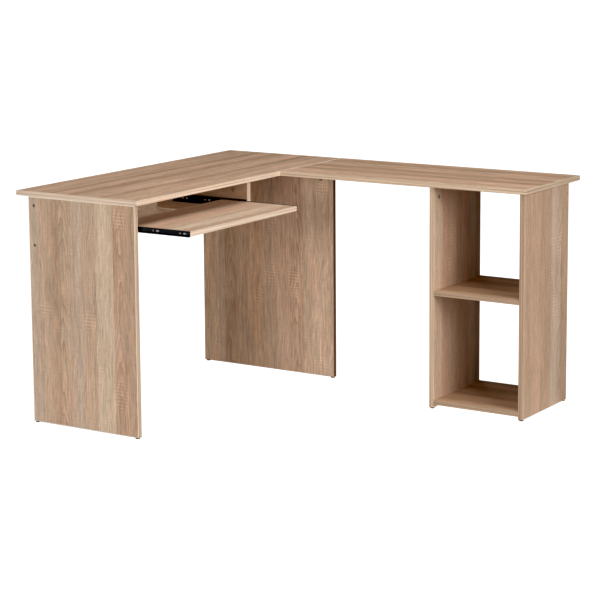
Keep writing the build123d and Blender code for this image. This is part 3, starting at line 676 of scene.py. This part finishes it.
# ---- Floor ----
# A wide white studio floor. It glows by itself, so that it stays one even white out to the horizon.
# The glow lights only the floor, and is kept off the desk.
FLOOR_HALF = 90  # m
FLOOR_GREY = 0.20  # its own reflectance is low, so that lamps leave no bright pools on it
FLOOR_GLOW = 1.1
floor_mesh = bpy.data.meshes.new("floor")
floor_corners = [(x * FLOOR_HALF, y * FLOOR_HALF, 0) for x, y in ((-1, -1), (1, -1), (1, 1), (-1, 1))]
floor_mesh.from_pydata(floor_corners, [], [(0, 1, 2, 3)])
floor = bpy.data.objects.new("floor", floor_mesh)
bpy.context.scene.collection.objects.link(floor)
floor_paint, _, floor_shader = finish_for("white_studio_floor")
floor_shader.inputs["Base Color"].default_value = (FLOOR_GREY, FLOOR_GREY, FLOOR_GREY, 1)
floor_shader.inputs["Roughness"].default_value = 1.0
floor_shader.inputs["Specular IOR Level"].default_value = 0.0
floor_shader.inputs["Emission Color"].default_value = (1, 1, 1, 1)
floor_shader.inputs["Emission Strength"].default_value = FLOOR_GLOW
floor_mesh.materials.append(floor_paint)
lit_by_floor = bpy.data.collections.new("lit_by_floor")
lit_by_floor.objects.link(floor)
floor.light_linking.receiver_collection = lit_by_floor

# ---- Lights ----
# Three wide, low, soft suns, from the front, the right and behind, light the upright faces.
# Three square lamps, overhead, in front and at the right, light the tops and shade the inside of the desk.
# A large sheet on the floor throws a little light up, as a white floor does.
WORLD_GLOW = 0.045
world = bpy.data.worlds.new("studio")
world.use_nodes = True
bpy.context.scene.world = world
world.node_tree.nodes["Background"].inputs["Color"].default_value = (1, 1, 1, 1)
world.node_tree.nodes["Background"].inputs["Strength"].default_value = WORLD_GLOW
# Suns: name, compass angle and height in degrees, strength, and width in degrees
for lamp_name, lamp_azimuth, lamp_elevation, strength, softness in (
    ("front", 10, 3, 1.05, 30),
    ("right", 72, 4, 1.43, 40),
    ("rear", 225, 4, 2.5, 30),
):
    lamp = bpy.data.lights.new(lamp_name, "SUN")
    lamp.energy = strength
    lamp.angle = math.radians(softness)
    turn, rise = math.radians(lamp_azimuth), math.radians(lamp_elevation)
    towards = Vector((math.sin(turn) * math.cos(rise), -math.cos(turn) * math.cos(rise), math.sin(rise)))
    stand = bpy.data.objects.new(lamp_name, lamp)
    stand.visible_glossy = lamp_name != "rear"  # no glare of it along the tops
    stand.rotation_euler = towards.to_track_quat("Z", "Y").to_euler()
    bpy.context.scene.collection.objects.link(stand)

# Square lamps: name, where it hangs, what it points at, its side in m, and its watts
for lamp_name, hung_at, aim, side, watts in (
    ("overhead", (0.3, -0.3, 3.2), (-0.1, 0.0, 0.7), 1.8, 52),
    ("front_box", (0.4, -4.2, 0.9), (-0.2, 0.0, 0.6), 1.4, 42),
    ("right_box", (3.2, -0.9, 1.9), (0.3, 0.2, 0.4), 1.6, 54),
):
    lamp = bpy.data.lights.new(lamp_name, "AREA")
    lamp.size = side
    lamp.energy = watts
    stand = bpy.data.objects.new(lamp_name, lamp)
    stand.location = hung_at
    stand.rotation_euler = (Vector(hung_at) - Vector(aim)).to_track_quat("Z", "Y").to_euler()
    bpy.context.scene.collection.objects.link(stand)

bounce = bpy.data.lights.new("floor_bounce", "AREA")
bounce.shape = "RECTANGLE"
bounce.size, bounce.size_y = 5.0, 5.0
bounce.energy = 35
laid = bpy.data.objects.new("floor_bounce", bounce)
laid.location = (0.8, -2.0, 0.004)
laid.rotation_euler = (math.pi, 0, 0)
laid.visible_camera = False
bpy.context.scene.collection.objects.link(laid)

# ---- Camera ----
# A long lens from the front right, a little above the tops, shifted down as a view camera is,
# so that the upright edges stay almost parallel.
AZIMUTH, ELEVATION, ROLL = (math.radians(angle) for angle in (32.518, 8.694, -0.386))
AIM = Vector((-0.0782, 0.1003, 0.6408))
DISTANCE = 6.643
scene = bpy.context.scene
camera_data = bpy.data.cameras.new("camera")
camera_data.sensor_width = 36
camera_data.lens = 120.56
camera_data.shift_y = -0.15
camera = bpy.data.objects.new("camera", camera_data)
back = Vector((math.sin(AZIMUTH) * math.cos(ELEVATION), -math.cos(AZIMUTH) * math.cos(ELEVATION),
               math.sin(ELEVATION)))
camera.location = AIM + back * DISTANCE
level = (-back).to_track_quat("-Z", "Y").to_matrix()
camera.rotation_euler = (level @ Matrix.Rotation(ROLL, 3, "Z")).to_euler()
scene.collection.objects.link(camera)
scene.camera = camera

# The view has no film curve. Its gamma keeps the pale faces from washing out,
# and its black level deepens the shade under the tops and warms its colour.
view = scene.view_settings
view.view_transform = "Standard"
view.gamma = 0.88
view.use_curve_mapping = True
view.curve_mapping.black_level = (0.025, 0.025, 0.025)
view.curve_mapping.update()
